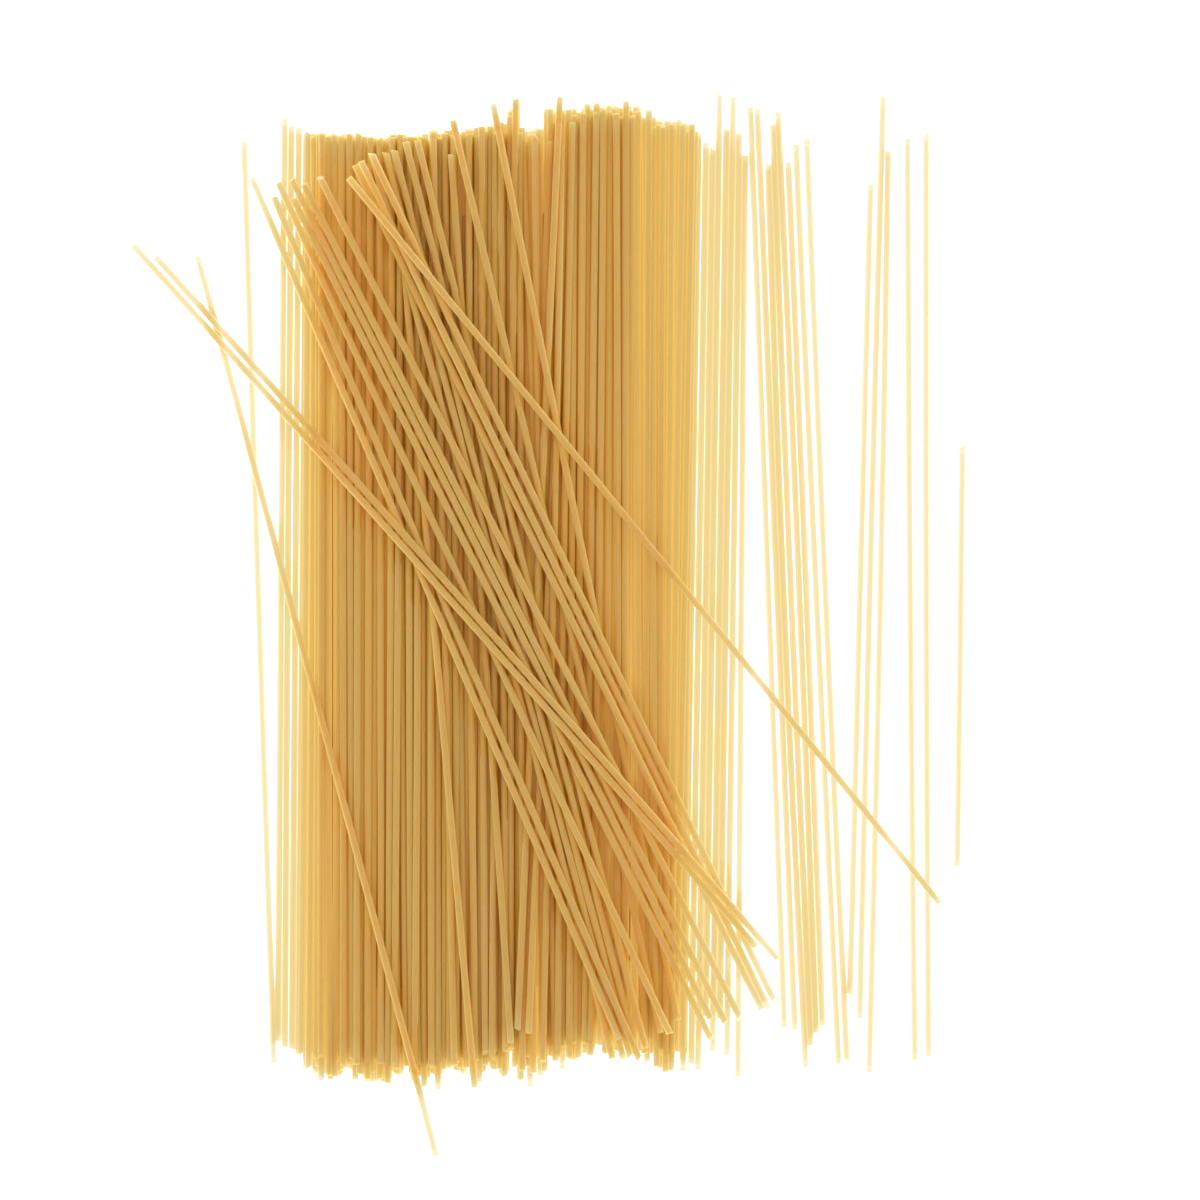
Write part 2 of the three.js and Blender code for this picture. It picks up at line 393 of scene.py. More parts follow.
# ---- light through the pasta ----
def pasta_plans(groups):
    """Over each cell of the table: the depth of each group's pasta, and how high the topmost strand is."""
    every = np.concatenate([path for paths in groups for path in paths])
    corner = every[:, :2].min(axis=0) - PLAN_MARGIN
    cells = np.ceil((every[:, :2].max(axis=0) + PLAN_MARGIN - corner) / CELL).astype(int)
    depths = np.zeros((len(groups), cells[0] * cells[1]))
    top = np.zeros(cells[0] * cells[1])
    across = ((np.arange(PLAN_LINES) + 0.5) / PLAN_LINES - 0.5) * STRAND_WIDTH
    rise = np.sqrt((STRAND_WIDTH / 2) ** 2 - across**2)
    line_depth = 2 * rise * (STRAND_WIDTH / PLAN_LINES) / CELL
    for depth, paths in zip(depths, groups):
        for path in paths:
            steps = np.linalg.norm(np.diff(path[:, :2], axis=0), axis=1)
            reach = np.concatenate(([0], np.cumsum(steps)))
            fine = np.arange(0, reach[-1], CELL)
            points = np.stack([np.interp(fine, reach, path[:, axis]) for axis in (0, 1, 2)], axis=1)
            way = path[-1, :2] - path[0, :2]
            side = np.array([-way[1], way[0]]) / np.linalg.norm(way)
            spread = points[:, None, :2] + across[None, :, None] * side
            index = ((spread - corner) / CELL).astype(int)
            flat = (index[..., 0] * cells[1] + index[..., 1]).ravel()
            depth += np.bincount(flat, weights=np.tile(line_depth, len(fine)), minlength=depth.size)
            np.maximum.at(top, flat, (points[:, 2][:, None] + rise[None, :]).ravel())
    return corner, depths.reshape(-1, *cells), top.reshape(cells)


def blurred(plan, blur):
    """The plan with each cell spread over those round it, by a bell of this width."""
    reach = int(BELL_REACH * blur / CELL)
    bell = np.exp(-0.5 * (np.arange(-reach, reach + 1) * CELL / blur) ** 2)
    bell /= bell.sum()
    for axis in (0, 1):
        plan = np.apply_along_axis(np.convolve, axis, plan, bell, "same")
    return plan


def light_share(depth):
    """The share of light from below that comes through the pasta over each cell."""
    return np.exp(-depth / LIGHT_DEPTH)


def light_plans(laid, crossing, loose):
    """For each group: the light at the strand's own edge, and the glow once that light has spread.

    The strands lying across are lit through all that is under them, from further away.
    """
    under = laid + loose
    at_edge = light_share(blurred(under, EDGE_BLUR))
    shaded = blurred(under + SHADE_OF_CROSSING * crossing, GLOW_BLUR)
    raised = blurred(under, RAISED_BLUR) + blurred(crossing, GLOW_BLUR)
    return (
        {"light": at_edge, "glow": light_share(shaded)},
        {"light": light_share(blurred(under + crossing, EDGE_BLUR)), "glow": light_share(raised)},
        {"light": at_edge, "glow": light_share(blurred(under, GLOW_BLUR))},
    )


def roof_plan(top):
    """The height of the topmost strands, carried over the gaps between them."""
    roof = top
    for axis in (0, 1):
        sides = [np.roll(roof, step, axis) for step in range(-ROOF_REACH, ROOF_REACH + 1)]
        roof = np.max(sides, axis=0)
    return blurred(roof, ROOF_REACH * CELL / 2)


def plan_at(corner, plan, x, y):
    """The plan's value at each point, from the four cells round it."""
    across = np.clip((x - corner[0]) / CELL - 0.5, 0, plan.shape[0] - FAR_EDGE)
    along = np.clip((y - corner[1]) / CELL - 0.5, 0, plan.shape[1] - FAR_EDGE)
    i = across.astype(int)
    j = along.astype(int)
    to_right = across - i
    to_head = along - j
    near = plan[i, j] * (1 - to_right) + plan[i + 1, j] * to_right
    far = plan[i, j + 1] * (1 - to_right) + plan[i + 1, j + 1] * to_right
    return near * (1 - to_head) + far * to_head


# ---- node helpers ----
def add_node(tree, kind, **settings):
    """A new node, with its own settings or the values of its inputs given by name."""
    node = tree.nodes.new(kind)
    for name, value in settings.items():
        if hasattr(node, name):
            setattr(node, name, value)
        else:
            node.inputs[name.replace("_", " ")].default_value = value
    return node


def named(tree, name, kind):
    """An attribute kept on the points, read back."""
    node = add_node(tree, "GeometryNodeInputNamedAttribute", data_type=kind)
    node.inputs["Name"].default_value = name
    return node.outputs["Attribute"]


def store(tree, geometry, name, kind, value):
    """The geometry with a value kept on its points."""
    node = add_node(tree, "GeometryNodeStoreNamedAttribute", data_type=kind, domain="POINT")
    node.inputs["Name"].default_value = name
    tree.links.new(geometry, node.inputs["Geometry"])
    tree.links.new(value, node.inputs["Value"])
    return node.outputs["Geometry"]


def vector_math(tree, operation, *values):
    """One step of reckoning with vectors."""
    node = add_node(tree, "ShaderNodeVectorMath", operation=operation)
    for value, socket in zip(values, (s for s in node.inputs if s.enabled)):
        tree.links.new(value, socket)
    return node.outputs["Value"] if operation in ("DOT_PRODUCT", "LENGTH") else node.outputs["Vector"]


# ---- the strands' tree ----
def strand_tree():
    """Sweeps a round strand along every path, cuts its ends aslant and roughens its skin."""
    tree = bpy.data.node_groups.new("Strands along paths", "GeometryNodeTree")
    for name, kind in (
        ("Paths", "NodeSocketGeometry"),
        ("Strand width", "NodeSocketFloat"),
        ("Sides", "NodeSocketInt"),
        ("Skin unevenness", "NodeSocketFloat"),
        ("Pasta", "NodeSocketMaterial"),
    ):
        tree.interface.new_socket(name, in_out="INPUT", socket_type=kind)
    tree.interface.new_socket("Strands", in_out="OUTPUT", socket_type="NodeSocketGeometry")
    given = add_node(tree, "NodeGroupInput")
    link = tree.links.new

    to_curve = add_node(tree, "GeometryNodeMeshToCurve")
    link(given.outputs["Paths"], to_curve.inputs["Mesh"])
    tangent = add_node(tree, "GeometryNodeInputTangent")
    spline = add_node(tree, "GeometryNodeSplineParameter")
    curve = store(tree, to_curve.outputs["Curve"], "way", "FLOAT_VECTOR", tangent.outputs["Tangent"])
    curve = store(tree, curve, "along", "FLOAT", spline.outputs["Length"])
    girth = add_node(tree, "GeometryNodeSetCurveRadius")
    link(curve, girth.inputs["Curve"])
    link(named(tree, "girth", "FLOAT"), girth.inputs["Radius"])

    half_width = add_node(tree, "ShaderNodeMath", operation="MULTIPLY")
    link(given.outputs["Strand width"], half_width.inputs[0])
    half_width.inputs[1].default_value = 0.5
    circle = add_node(tree, "GeometryNodeCurvePrimitiveCircle", mode="RADIUS")
    link(given.outputs["Sides"], circle.inputs["Resolution"])
    link(half_width.outputs[0], circle.inputs["Radius"])
    position = add_node(tree, "GeometryNodeInputPosition")
    profile = store(tree, circle.outputs["Curve"], "around", "FLOAT_VECTOR", position.outputs["Position"])

    sweep = add_node(tree, "GeometryNodeCurveToMesh")
    sweep.inputs["Fill Caps"].default_value = True
    link(girth.outputs["Curve"], sweep.inputs["Curve"])
    link(profile, sweep.inputs["Profile Curve"])

    around = named(tree, "around", "FLOAT_VECTOR")
    cut_depth = vector_math(tree, "DOT_PRODUCT", around, named(tree, "cut", "FLOAT_VECTOR"))
    cut = add_node(tree, "ShaderNodeVectorMath", operation="SCALE")
    link(named(tree, "way", "FLOAT_VECTOR"), cut.inputs["Vector"])
    link(cut_depth, cut.inputs["Scale"])
    cut_ends = add_node(tree, "GeometryNodeSetPosition")
    link(sweep.outputs["Mesh"], cut_ends.inputs["Geometry"])
    link(cut.outputs["Vector"], cut_ends.inputs["Offset"])

    length_way = add_node(tree, "ShaderNodeMath", operation="ADD")
    link(named(tree, "along", "FLOAT"), length_way.inputs[0])
    link(named(tree, "start", "FLOAT"), length_way.inputs[1])
    along_z = add_node(tree, "ShaderNodeCombineXYZ")
    link(length_way.outputs[0], along_z.inputs["Z"])
    grain = vector_math(tree, "ADD", around, along_z.outputs["Vector"])
    grained = store(tree, cut_ends.outputs["Geometry"], "grain", "FLOAT_VECTOR", grain)

    lumps = add_node(tree, "ShaderNodeTexNoise", noise_dimensions="3D", Scale=LUMP_FINENESS, Detail=1.0)
    link(named(tree, "grain", "FLOAT_VECTOR"), lumps.inputs["Vector"])
    centred = add_node(tree, "ShaderNodeMath", operation="SUBTRACT")
    link(lumps.outputs[0], centred.inputs[0])
    centred.inputs[1].default_value = 0.5
    depth = add_node(tree, "ShaderNodeMath", operation="MULTIPLY")
    link(centred.outputs[0], depth.inputs[0])
    link(given.outputs["Skin unevenness"], depth.inputs[1])
    normal = add_node(tree, "GeometryNodeInputNormal")
    swell = add_node(tree, "ShaderNodeVectorMath", operation="SCALE")
    link(normal.outputs["Normal"], swell.inputs["Vector"])
    link(depth.outputs[0], swell.inputs["Scale"])
    skin = add_node(tree, "GeometryNodeSetPosition")
    link(grained, skin.inputs["Geometry"])
    link(swell.outputs["Vector"], skin.inputs["Offset"])

    real = add_node(tree, "GeometryNodeRealizeInstances")
    link(skin.outputs["Geometry"], real.inputs["Geometry"])
    coat = add_node(tree, "GeometryNodeSetMaterial")
    link(real.outputs["Geometry"], coat.inputs["Geometry"])
    link(given.outputs["Pasta"], coat.inputs["Material"])
    made = add_node(tree, "NodeGroupOutput")
    link(coat.outputs["Geometry"], made.inputs["Strands"])
    return tree


def path_mesh(name, paths):
    """A mesh of edges along the paths, with each strand's tone, girth, cuts, way to its end and grain."""
    verts = []
    edges = []
    tone = []
    girth = []
    cut = []
    to_end = []
    start = []
    for path in paths:
        count = len(path)
        first = len(verts)
        verts.extend((path * METRES).tolist())
        edges.extend((first + i, first + i + 1) for i in range(count - 1))
        tone.extend([chance.uniform(-1, 1)] * count)
        girth.extend(1 + GIRTH_UNEVENNESS * chance.uniform(-1, 1) * np.ones(count))
        slopes = np.zeros((count, 3))
        for end in (0, count - 1):
            turn = chance.uniform(0, 2 * math.pi)
            slope = STEEPEST_CUT * chance.uniform(0, 1) ** CHIP_RARITY
            slopes[end] = slope * math.cos(turn), slope * math.sin(turn), 0
        cut.extend(slopes)
        from_foot = np.linalg.norm(path - path[0], axis=1)
        from_head = np.linalg.norm(path - path[-1], axis=1)
        to_end.extend(np.minimum(from_foot, from_head))
        start.extend([chance.uniform(0, GRAIN_STRETCH)] * count)
    mesh = bpy.data.meshes.new(name + " paths")
    mesh.from_pydata(verts, edges, [])
    for label, values in (("tone", tone), ("girth", girth), ("to_end", to_end), ("start", start)):
        mesh.attributes.new(label, "FLOAT", "POINT").data.foreach_set("value", np.array(values, np.float32))
    slots = mesh.attributes.new("cut", "FLOAT_VECTOR", "POINT")
    slots.data.foreach_set("vector", np.array(cut, np.float32).ravel())
    return mesh


def sweep_strands(name, paths, tree, pasta):
    """One plain mesh of all the strands along these paths."""
    source = bpy.data.objects.new(name + "_paths", path_mesh(name, paths))
    bpy.context.scene.collection.objects.link(source)
    modifier = source.modifiers.new("Strands", "NODES")
    modifier.node_group = tree
    values = {
        "Strand width": STRAND_WIDTH * METRES,
        "Sides": STRAND_SIDES,
        "Skin unevenness": SKIN_UNEVENNESS * METRES,
        "Pasta": pasta,
    }
    for item in tree.interface.items_tree:
        if item.item_type == "SOCKET" and item.in_out == "INPUT" and item.name in values:
            modifier[item.identifier] = values[item.name]
    evaluated = source.evaluated_get(bpy.context.evaluated_depsgraph_get())
    mesh = bpy.data.meshes.new_from_object(evaluated)
    mesh.name = name
    bpy.data.objects.remove(source)
    # The four-cornered faces along a strand are smooth, and the cut ends are flat.
    corners = np.empty(len(mesh.polygons), np.int32)
    mesh.polygons.foreach_get("loop_total", corners)
    mesh.polygons.foreach_set("use_smooth", corners == 4)
    for label in ("way", "along", "cut", "girth", "start", "around"):
        if label in mesh.attributes:
            mesh.attributes.remove(mesh.attributes[label])
    piece = bpy.data.objects.new(name, mesh)
    bpy.context.scene.collection.objects.link(piece)
    return piece


def give_light(piece, corner, lights, roof):
    """Each point keeps how much light from the table comes through, and how deep it is sunk."""
    mesh = piece.data
    places = np.empty(len(mesh.vertices) * 3, np.float32)
    mesh.vertices.foreach_get("co", places)
    x, y, z = places.reshape(-1, 3).T / METRES
    values = {label: plan_at(corner, light, x, y) for label, light in lights.items()}
    values["sunk"] = plan_at(corner, roof, x, y) - z
    for label, value in values.items():
        mesh.attributes.new(label, "FLOAT", "POINT").data.foreach_set("value", value.astype(np.float32))


# ---- materials ----
STREAK_DRAW = 0.12  # the streaks' fineness along the strand, as a share of that across it
SPECK_FINENESS = 420.0
SPECK_REACH = (0.16, 0.06)  # from a speck's rim to its middle
COLOUR_A = 6  # the places of a Mix node's two colours among its inputs
COLOUR_B = 7
COLOUR_OUT = 2  # and of the mixed colour among its outputs


def grain_group():
    """Lengthwise streaks, soft blotches and starch specks of extruded dough."""
    group = bpy.data.node_groups.new("Dough grain", "ShaderNodeTree")
    for name, way, kind in (
        ("Place", "INPUT", "NodeSocketVector"),
        ("Streak fineness", "INPUT", "NodeSocketFloat"),
        ("Blotch fineness", "INPUT", "NodeSocketFloat"),
        ("Streaks", "OUTPUT", "NodeSocketFloat"),
        ("Blotches", "OUTPUT", "NodeSocketFloat"),
        ("Specks", "OUTPUT", "NodeSocketFloat"),
    ):
        group.interface.new_socket(name, in_out=way, socket_type=kind)
    given = add_node(group, "NodeGroupInput")
    made = add_node(group, "NodeGroupOutput")
    link = group.links.new
    drawn_out = add_node(group, "ShaderNodeVectorMath", operation="MULTIPLY")
    drawn_out.inputs[1].default_value = (1.0, 1.0, STREAK_DRAW)
    link(given.outputs["Place"], drawn_out.inputs[0])
    streaks = add_node(group, "ShaderNodeTexNoise", Detail=3.0, Roughness=0.6)
    link(drawn_out.outputs[0], streaks.inputs["Vector"])
    link(given.outputs["Streak fineness"], streaks.inputs["Scale"])
    blotches = add_node(group, "ShaderNodeTexNoise", Detail=2.0, Roughness=0.5)
    link(given.outputs["Place"], blotches.inputs["Vector"])
    link(given.outputs["Blotch fineness"], blotches.inputs["Scale"])
    dots = add_node(group, "ShaderNodeTexVoronoi", Scale=SPECK_FINENESS)
    link(given.outputs["Place"], dots.inputs["Vector"])
    link(streaks.outputs[0], made.inputs["Streaks"])
    link(blotches.outputs[0], made.inputs["Blotches"])
    link(share(group, dots.outputs["Distance"], SPECK_REACH), made.inputs["Specks"])
    return group


def connect(tree, value, socket):
    """Gives an input a plain value, or the output of another node."""
    if hasattr(value, "is_output"):
        tree.links.new(value, socket)
    else:
        socket.default_value = value


def share(tree, value, reach, low=0.0, high=1.0):
    """A share that goes from low to high as the value goes over its reach, and stays so past its ends."""
    node = add_node(tree, "ShaderNodeMapRange")
    connect(tree, reach[0], node.inputs["From Min"])
    connect(tree, reach[1], node.inputs["From Max"])
    connect(tree, low, node.inputs["To Min"])
    connect(tree, high, node.inputs["To Max"])
    connect(tree, value, node.inputs["Value"])
    return node.outputs["Result"]


def product(tree, *shares):
    """All the shares multiplied, so that it is full only where each of them is."""
    outcome = shares[0]
    for factor in shares[1:]:
        node = add_node(tree, "ShaderNodeMath", operation="MULTIPLY")
        connect(tree, outcome, node.inputs[0])
        connect(tree, factor, node.inputs[1])
        outcome = node.outputs[0]
    return outcome


def mix_colours(tree, blend, factor, first, second):
    """The first colour, with the second blended in as far as the factor says."""
    node = add_node(tree, "ShaderNodeMix", data_type="RGBA", blend_type=blend)
    connect(tree, factor, node.inputs["Factor"])
    connect(tree, first, node.inputs[COLOUR_A])
    connect(tree, second, node.inputs[COLOUR_B])
    return node.outputs[COLOUR_OUT]


def colour(red, green, blue):
    """A colour as the eye's 0 to 255, turned into light."""
    lights = []
    for seen in (red, green, blue):
        if seen <= 10:
            lights.append(seen / 255 / 12.92)
        else:
            lights.append(((seen / 255 + 0.055) / 1.055) ** 2.4)
    return (*lights, 1.0)


def new_material(name):
    """A material with a shader of its own, its node tree and that shader."""
    material = bpy.data.materials.new(name)
    material.use_nodes = True
    tree = material.node_tree
    tree.nodes.clear()
    shader = add_node(tree, "ShaderNodeBsdfPrincipled")
    output = add_node(tree, "ShaderNodeOutputMaterial")
    tree.links.new(shader.outputs["BSDF"], output.inputs["Surface"])
    return material, tree, shader


# Painted backlight: the dough's colour and a painted glow stand in for light from the table below, each by
# the share of light that comes through.
PAINTED_BACKLIGHT_COLOURS = (
    (0.0, (250, 203, 130)),
    (0.06, (247, 202, 126)),
    (0.1, (211, 179, 110)),
    (0.15, (156, 147, 90)),
    (0.22, (140, 135, 89)),
    (0.32, (135, 136, 101)),
    (0.56, (97, 101, 73)),
    (0.7, (96, 111, 97)),
)
PAINTED_BACKLIGHT_GLOWS = (
    (0.0, (10, 3, 0)),
    (0.04, (22, 11, 2)),
    (0.06, (38, 26, 6)),
    (0.1, (101, 84, 36)),
    (0.15, (180, 143, 73)),
    (0.22, (192, 154, 82)),
    (0.32, (200, 164, 92)),
    (0.56, (226, 201, 138)),
    (0.6, (236, 210, 155)),
    (0.7, (239, 229, 190)),
)
# Painted shade on the flanks deep in the gaps, by the share of light that comes through.
GAP_PAINTED_SHADES = (
    (0.018, (213, 203, 78)),
    (0.035, (242, 234, 98)),
    (0.06, (250, 238, 118)),
)
# Painted glow in the gaps, standing in for light from below.
GAP_PAINTED_GLOW = (0.018, 0.008, 0.0, 1)
SLIT_PAINTED_GLOW = (0.05, 0.1, 0.1, 1)  # painted glow where strands of a single layer touch
CROWN_PAINTED_SHADE = (0.92, 0.89, 0.92, 1)  # painted shade toning down the lit upper side of the strands on the heap
SUNK_CROWN_PAINTED_SHADE = (0.96, 0.885, 0.83, 1)  # and painted shade of those lying deeper
SIDE_PAINTED_GLOW = (0.124, 0.1, 0.018, 1)  # painted glow on their open sides
BAND_SIDE_PAINTED_GLOW = (0.058, 0.052, 0.018, 1)  # painted glow on the sides of strands a few layers deep
END_PAINTED_LIGHT = (0.97, 1.03, 1.12, 1)  # painted light towards the ends of the strands
HEAP_END_PAINTED_LIGHT = (0.9, 1.06, 1.35, 1)  # and stronger painted light in the heap
END_PAINTED_GLOW = (0.06, 0.04, 0.0, 1)  # painted glow towards the ends in the heap
# The cut face: partly its own paler colour, partly a painted highlight.
CUT_END_COLOUR_AND_HIGHLIGHT = (243, 214, 152)
NO_GLOW = (0, 0, 0, 1)

# Where the painted light and shade are found: nothing of each at the first value, all of it at the second.
# By the depth under the topmost strands:
IN_GAP = (0.9, 1.8)
OPEN_ABOVE = (1.3, 0.8)
# By how far the surface faces up:
CROWN = (0.5, 0.95)
SIDE = (0.92, 0.4)
FLANK = (0.85, 0.2)
# By the share of light that comes through:
IN_HEAP = (0.13, 0.08)
THICK = (0.1, 0.035)
BAND_INSIDE = (0.075, 0.11)
BAND_OUTSIDE = (0.5, 0.3)
SINGLE = (0.35, 0.5)
# By how much more light comes through than nearby:
SLIT = (0.04, 0.22)
# By the distance from a cut end:
NEAR_END = (7.0, 0.0)
AT_CUT = (1.2, 0.0)

# How pale a cut end is, its own paler cut face with a painted highlight, from where little light comes
# through to where much does.
PALING = (0.1, 0.4)
PALEST_CUT = 0.55
LEAST_PALE_CUT = 0.25

# The dough itself.
STREAK_FINENESS = 1900.0
BLOTCH_FINENESS = 260.0
TONE_TINTS = ((0.98, 0.965, 0.915, 1), (0.99, 0.98, 0.93, 1))  # of the darkest and the lightest strand
BLOTCH_TINT = (0.99, 0.975, 0.94, 1)
STREAK_TINT = (0.99, 0.975, 0.95, 1)
SPECK_TINT = (1.1, 1.16, 1.4, 1)
SPECK_STRENGTH = 0.35
BLOTCH_REACH = (0.3, 0.7)
STREAK_REACH = (0.35, 0.65)
SMOOTHEST = 0.52
ROUGHEST = 0.68
GLOSS = 0.1
SPREAD_OF_LIGHT = 0.004  # inside the dough, in metres
SPREAD_BY_COLOUR = (1.0, 0.6, 0.3)
STREAK_DEPTH = 0.00006
STREAK_SHARPNESS = 0.35


def colour_ramp(tree, value, shades):
    """The shade for this value, from the two shades round it."""
    node = add_node(tree, "ShaderNodeValToRGB")
    ramp = node.color_ramp
    while len(ramp.elements) < len(shades):
        ramp.elements.new(0.5)
    for element, (position, shade) in zip(ramp.elements, shades):
        element.position = position
        element.color = colour(*shade)
    tree.links.new(value, node.inputs["Fac"])
    return node.outputs["Color"]


def kept_value(tree, name):
    """One of the values that the strands' mesh keeps on its points."""
    return add_node(tree, "ShaderNodeAttribute", attribute_name=name).outputs["Fac"]


def facing_up(tree):
    """How far the surface faces up: 1 on top of a strand, 0 at its sides."""
    geometry = add_node(tree, "ShaderNodeNewGeometry")
    parts = add_node(tree, "ShaderNodeSeparateXYZ")
    tree.links.new(geometry.outputs["Normal"], parts.inputs["Vector"])
    return parts.outputs["Z"]


def lit_dough(tree):
    """Painted light and shade on the dough: colour and a painted glow by the light that comes through and
    by the place in the heap.
    """
    glow = kept_value(tree, "glow")
    sunk = kept_value(tree, "sunk")
    upward = facing_up(tree)
    in_heap = share(tree, glow, IN_HEAP)
    deep = product(tree, share(tree, sunk, IN_GAP), in_heap)
    side = share(tree, upward, SIDE)

    body = colour_ramp(tree, glow, PAINTED_BACKLIGHT_COLOURS)
    deep_flank = product(tree, deep, share(tree, upward, FLANK))
    body = mix_colours(tree, "MULTIPLY", deep_flank, body, colour_ramp(tree, glow, GAP_PAINTED_SHADES))
    crown_shade = mix_colours(tree, "MIX", deep, CROWN_PAINTED_SHADE, SUNK_CROWN_PAINTED_SHADE)
    heap_crown = product(tree, share(tree, upward, CROWN), in_heap)
    body = mix_colours(tree, "MULTIPLY", heap_crown, body, crown_shade)

    shine = colour_ramp(tree, glow, PAINTED_BACKLIGHT_GLOWS)
    shine = mix_colours(tree, "ADD", deep, shine, GAP_PAINTED_GLOW)
    open_side = product(tree, side, share(tree, glow, THICK), share(tree, sunk, OPEN_ABOVE))
    shine = mix_colours(tree, "ADD", open_side, shine, SIDE_PAINTED_GLOW)
    in_band = product(tree, share(tree, glow, BAND_INSIDE), share(tree, glow, BAND_OUTSIDE))
    shine = mix_colours(tree, "ADD", product(tree, side, in_band), shine, BAND_SIDE_PAINTED_GLOW)
    finer = add_node(tree, "ShaderNodeMath", operation="SUBTRACT")
    tree.links.new(kept_value(tree, "light"), finer.inputs[0])
    tree.links.new(glow, finer.inputs[1])
    slit = product(tree, share(tree, finer.outputs[0], SLIT), share(tree, glow, SINGLE))
    shine = mix_colours(tree, "ADD", slit, shine, SLIT_PAINTED_GLOW)

    to_end = kept_value(tree, "to_end")
    near_end = share(tree, to_end, NEAR_END)
    shine = mix_colours(tree, "ADD", product(tree, near_end, in_heap), shine, END_PAINTED_GLOW)
    end_light = mix_colours(tree, "MULTIPLY", in_heap, END_PAINTED_LIGHT, HEAP_END_PAINTED_LIGHT)
    body = mix_colours(tree, "MULTIPLY", near_end, body, end_light)
    shine = mix_colours(tree, "MULTIPLY", near_end, shine, end_light)
    paleness = share(tree, glow, PALING, PALEST_CUT, LEAST_PALE_CUT)
    at_cut = share(tree, to_end, AT_CUT, high=paleness)
    body = mix_colours(tree, "MIX", at_cut, body, colour(*CUT_END_COLOUR_AND_HIGHLIGHT))
    shine = mix_colours(tree, "MIX", at_cut, shine, NO_GLOW)
    return body, shine


def pasta_material(grain):
    material, tree, shader = new_material("dried durum pasta")
    link = tree.links.new
    place = add_node(tree, "ShaderNodeAttribute", attribute_name="grain")
    marks = add_node(tree, "ShaderNodeGroup", node_tree=grain)
    link(place.outputs["Vector"], marks.inputs["Place"])
    marks.inputs["Streak fineness"].default_value = STREAK_FINENESS
    marks.inputs["Blotch fineness"].default_value = BLOTCH_FINENESS
    streaks = marks.outputs["Streaks"]

    body, shine = lit_dough(tree)
    link(shine, shader.inputs["Emission Color"])
    shader.inputs["Emission Strength"].default_value = 1.0
    material.cycles.emission_sampling = "NONE"

    tone = share(tree, kept_value(tree, "tone"), (-1.0, 1.0))
    body = mix_colours(tree, "MULTIPLY", 1.0, body, mix_colours(tree, "MIX", tone, *TONE_TINTS))
    blotch = share(tree, marks.outputs["Blotches"], BLOTCH_REACH)
    body = mix_colours(tree, "MULTIPLY", blotch, body, BLOTCH_TINT)
    body = mix_colours(tree, "MULTIPLY", share(tree, streaks, STREAK_REACH), body, STREAK_TINT)
    speck = product(tree, marks.outputs["Specks"], SPECK_STRENGTH)
    body = mix_colours(tree, "MULTIPLY", speck, body, SPECK_TINT)
    link(body, shader.inputs["Base Color"])

    link(share(tree, streaks, (0.0, 1.0), SMOOTHEST, ROUGHEST), shader.inputs["Roughness"])
    shader.inputs["Specular IOR Level"].default_value = GLOSS
    shader.inputs["Subsurface Weight"].default_value = 1.0
    shader.inputs["Subsurface Radius"].default_value = SPREAD_BY_COLOUR
    shader.inputs["Subsurface Scale"].default_value = SPREAD_OF_LIGHT
    bump = add_node(tree, "ShaderNodeBump", Strength=STREAK_SHARPNESS, Distance=STREAK_DEPTH)
    link(streaks, bump.inputs["Height"])
    link(bump.outputs["Normal"], shader.inputs["Normal"])
    return material


def core_material(grain):
    """The core lies wholly under the strands and only closes the gaps between them; its darker colours are
    painted shade of the depth of the heap.
    """
    material, tree, shader = new_material("packed pasta in the depth of the heap")
    link = tree.links.new
    place = add_node(tree, "ShaderNodeTexCoord")
    marks = add_node(tree, "ShaderNodeGroup", node_tree=grain)
    turned = add_node(tree, "ShaderNodeMapping")
    turned.inputs["Rotation"].default_value = (math.pi / 2, 0, 0)
    link(place.outputs["Object"], turned.inputs["Vector"])
    link(turned.outputs["Vector"], marks.inputs["Place"])
    marks.inputs["Streak fineness"].default_value = CORE_STREAK_FINENESS
    marks.inputs["Blotch fineness"].default_value = CORE_BLOTCH_FINENESS
    dark, light = CORE_PAINTED_SHADE_COLOURS
    shade = mix_colours(tree, "MIX", marks.outputs["Streaks"], colour(*dark), colour(*light))
    link(shade, shader.inputs["Base Color"])
    shader.inputs["Roughness"].default_value = CORE_ROUGHNESS
    shader.inputs["Specular IOR Level"].default_value = GLOSS
    return material


# ---- the core ----
def make_core(material):
    """A low slab bent to the heap, wholly under the strands that show."""
    xs = np.linspace(CORE_LEFT, CORE_RIGHT, CORE_STEPS + 1)
    half = STRAND_LENGTH / 2 - CORE_INSET
    to_foot = sum(LENGTH_PLAY) / 4  # by which the middles lie nearer to the foot, the heads being in line
    verts = []
    for x in xs:
        y = along_profile(HEAP_SHIFT, x) - to_foot
        top = max(along_profile(HEAP_THICKNESS, x) - CORE_UNDER_TOP, CORE_LEAST)
        for side, height in ((-1, CORE_BOTTOM), (-1, top), (1, top), (1, CORE_BOTTOM)):
            verts.append((x - SPREAD_MIDDLE[0], y + side * half - SPREAD_MIDDLE[1], height))
    faces = []
    for i in range(CORE_STEPS):
        for k in range(4):
            a = 4 * i + k
            b = 4 * i + (k + 1) % 4
            faces.append((a, a + 4, b + 4, b))
    faces.append((0, 1, 2, 3))
    end = 4 * CORE_STEPS
    faces.append((end + 3, end + 2, end + 1, end))
    mesh = bpy.data.meshes.new("heap_core")
    mesh.from_pydata((np.array(verts) * METRES).tolist(), [], faces)
    mesh.materials.append(material)
    mesh.update()
    piece = bpy.data.objects.new("heap_core", mesh)
    bpy.context.scene.collection.objects.link(piece)
    return piece


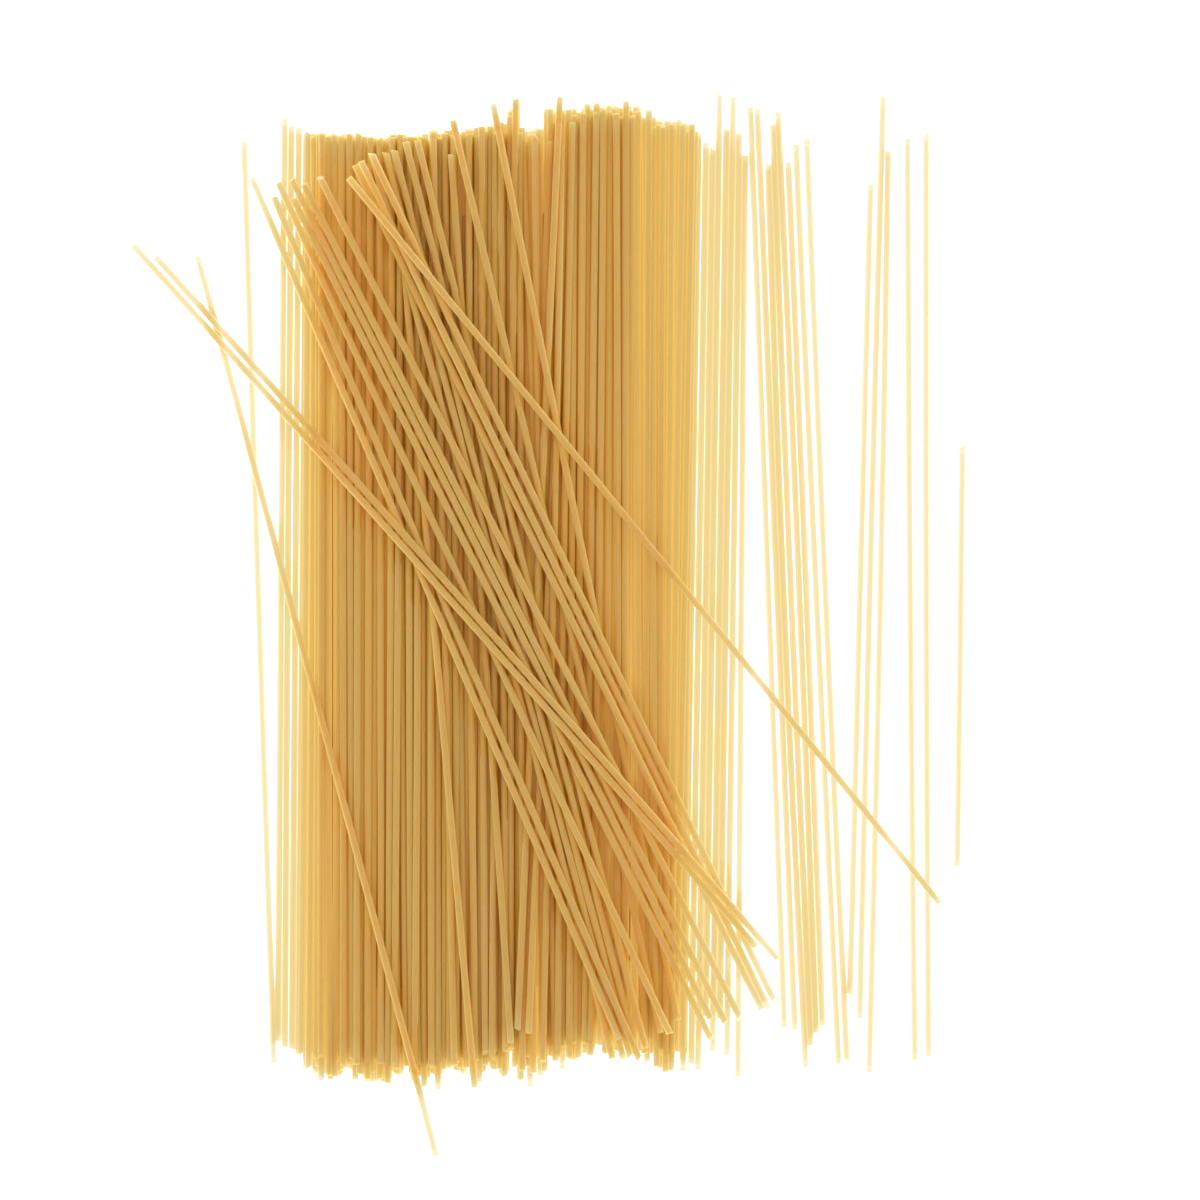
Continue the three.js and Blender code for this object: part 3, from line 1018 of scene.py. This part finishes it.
# ---- camera, light and floor, all in metres ----
CAMERA_HEIGHT = 0.85
CAMERA_OVER = (0.01376, 0.00559)
PICTURE_WIDTH = 0.3352  # of the table that the camera takes in
SENSOR_WIDTH = 36.0  # millimetres, as lenses are counted
TABLE_REACH = 3.0
TABLE_SHADE = 0.2
TABLE_ROUGHNESS = 0.9
TABLE_GLOW = 2.0
ROOM_LIGHT = 0.56
LAMP_WIDTH = 1.2
LAMP_POWER = 3.4
LAMP_PLACE = (-0.15, 0.25, 1.3)
LAMP_TILT = (-11, -6.5)  # degrees about X and Y
WHITE = (1, 1, 1, 1)


def floor_material():
    material, _, shader = new_material("white lit table")
    shader.inputs["Base Color"].default_value = (TABLE_SHADE, TABLE_SHADE, TABLE_SHADE, 1)
    shader.inputs["Roughness"].default_value = TABLE_ROUGHNESS
    shader.inputs["Specular IOR Level"].default_value = 0.0
    shader.inputs["Emission Color"].default_value = WHITE
    shader.inputs["Emission Strength"].default_value = TABLE_GLOW
    return material


def set_up_camera():
    camera = bpy.data.cameras.new("camera")
    camera.sensor_width = SENSOR_WIDTH
    camera.lens = SENSOR_WIDTH * CAMERA_HEIGHT / PICTURE_WIDTH
    holder = bpy.data.objects.new("camera", camera)
    holder.location = (*CAMERA_OVER, CAMERA_HEIGHT)
    bpy.context.scene.collection.objects.link(holder)
    bpy.context.scene.camera = holder


def set_up_table():
    mesh = bpy.data.meshes.new("table_top")
    corners = [(x * TABLE_REACH, y * TABLE_REACH, 0) for x, y in ((-1, -1), (1, -1), (1, 1), (-1, 1))]
    mesh.from_pydata(corners, [], [(0, 1, 2, 3)])
    mesh.materials.append(floor_material())
    table = bpy.data.objects.new("table_top", mesh)
    bpy.context.scene.collection.objects.link(table)


def set_up_light():
    world = bpy.data.worlds.new("soft white room")
    world.use_nodes = True
    world.node_tree.nodes["Background"].inputs["Color"].default_value = WHITE
    world.node_tree.nodes["Background"].inputs["Strength"].default_value = ROOM_LIGHT
    bpy.context.scene.world = world
    lamp = bpy.data.lights.new("soft box", "AREA")
    lamp.shape = "DISK"
    lamp.size = LAMP_WIDTH
    lamp.energy = LAMP_POWER
    hung = bpy.data.objects.new("soft box", lamp)
    hung.location = LAMP_PLACE
    hung.rotation_euler = (math.radians(LAMP_TILT[0]), math.radians(LAMP_TILT[1]), 0)
    bpy.context.scene.collection.objects.link(hung)
    bpy.context.scene.view_settings.view_transform = "Standard"


# ---- making it all ----
heap = lay_heap()
on_table = [rod(x, y, lean, length) for x, y, lean, length in LOOSE_STRANDS]
crossing = []
for place in CROSSING_STRANDS:
    crossing.append(lay_across(rod(*place), heap, [*on_table, *crossing]))

laid_paths = shifted(heap_paths(heap, HEAP_RINGS))
crossing_paths = shifted(bowed_paths(crossing, CROSSING_RINGS, CROSSING_BOW))
loose_paths = shifted(bowed_paths(on_table, LOOSE_RINGS, LOOSE_BOW))
corner, depths, top = pasta_plans((laid_paths, crossing_paths, loose_paths))
light_of_laid, light_of_crossing, light_of_loose = light_plans(*depths)
roof = roof_plan(top)

grain = grain_group()
pasta = pasta_material(grain)
tree = strand_tree()
bundle = "spaghetti_bundle"
loose_nodes = [f"loose_strand_{i + 1}" for i in range(len(LOOSE_STRANDS) - 1)]
for name, paths, nodes, lights in (
    ("laid_strands", laid_paths, [bundle], light_of_laid),
    ("crossing_strands", crossing_paths, [bundle], light_of_crossing),
    ("loose_strands", loose_paths, loose_nodes, light_of_loose),
):
    piece = sweep_strands(name, paths, tree, pasta)
    give_light(piece, corner, lights, roof)
    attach(piece, "root")
    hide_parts(*nodes)
core = make_core(core_material(grain))
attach(core, "root")
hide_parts(bundle)
set_up_camera()
set_up_table()
set_up_light()
